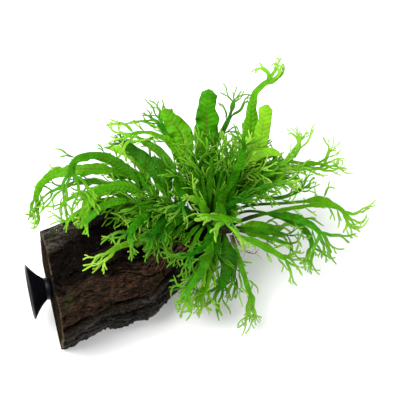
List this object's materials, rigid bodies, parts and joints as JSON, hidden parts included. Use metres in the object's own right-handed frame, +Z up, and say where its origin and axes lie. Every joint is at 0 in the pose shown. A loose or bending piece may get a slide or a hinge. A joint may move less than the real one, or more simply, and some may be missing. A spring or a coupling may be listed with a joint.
{
  "type": "java fern on driftwood",
  "caption": "Lacy java fern growing from creeping stems over the narrow end of a sawn piece of driftwood, with a suction cup on the cut end.",
  "frame": {"origin": "on the driftwood's flat underside, 57.5 mm from the middle of its cut face", "axes": "+X along the driftwood from the suction cup to the fern, +Z up from the underside, +Y to the side that the camera sees at the back"},
  "size_m": [0.2343, 0.1645, 0.1209],
  "materials": {
    "driftwood": "wet, rough, satin",
    "black_rubber": "smooth satin",
    "stem": "rough, scaly",
    "root": "matt",
    "leaf_dark": "wet, glossy",
    "leaf": "wet, satin",
    "leaf_young": "wet, satin"
  },
  "bodies": {
    "root": {"driftwood": "driftwood", "suction_cup": "black_rubber", "stem_main": "stem", "stem_back": "stem", "stem_right": "stem", "root_1": "root", "root_2": "root", "frond_back_01": "leaf", "frond_back_02": "leaf", "frond_back_03": "leaf", "frond_back_04": "leaf_dark", "frond_back_05": "leaf", "frond_back_06": "leaf_young", "frond_back_07": "leaf", "frond_right_01": "leaf", "frond_right_02": "leaf_young", "frond_right_03": "leaf_young", "frond_right_04": "leaf", "frond_right_05": "leaf", "frond_right_06": "leaf", "frond_right_07": "leaf_dark", "frond_right_08": "leaf", "frond_right_09": "leaf", "frond_right_10": "leaf", "frond_right_11": "leaf", "frond_right_12": "leaf", "frond_right_13": "leaf", "frond_right_14": "leaf_dark", "frond_right_15": "leaf", "frond_right_16": "leaf_dark", "frond_right_17": "leaf_dark", "frond_right_18": "leaf", "frond_right_19": "leaf", "frond_left_01": "leaf_dark", "frond_left_02": "leaf_dark", "frond_left_03": "leaf_young", "frond_left_04": "leaf", "frond_left_05": "leaf_dark", "frond_left_06": "leaf", "frond_left_07": "leaf", "frond_left_08": "leaf_dark", "frond_left_09": "leaf_dark", "frond_left_10": "leaf_dark", "frond_left_11": "leaf_young", "frond_left_12": "leaf_dark", "frond_front_01": "leaf_young", "frond_front_02": "leaf", "frond_front_03": "leaf_dark", "frond_front_04": "leaf_dark", "frond_front_05": "leaf_young", "frond_front_06": "leaf_young", "frond_front_07": "leaf_dark", "frond_front_08": "leaf_dark", "frond_front_09": "leaf", "frond_low_01": "leaf_dark", "frond_low_02": "leaf", "frond_low_03": "leaf", "frond_low_04": "leaf_dark", "frond_low_05": "leaf_dark", "frond_low_06": "leaf"}
  },
  "joints": []
}
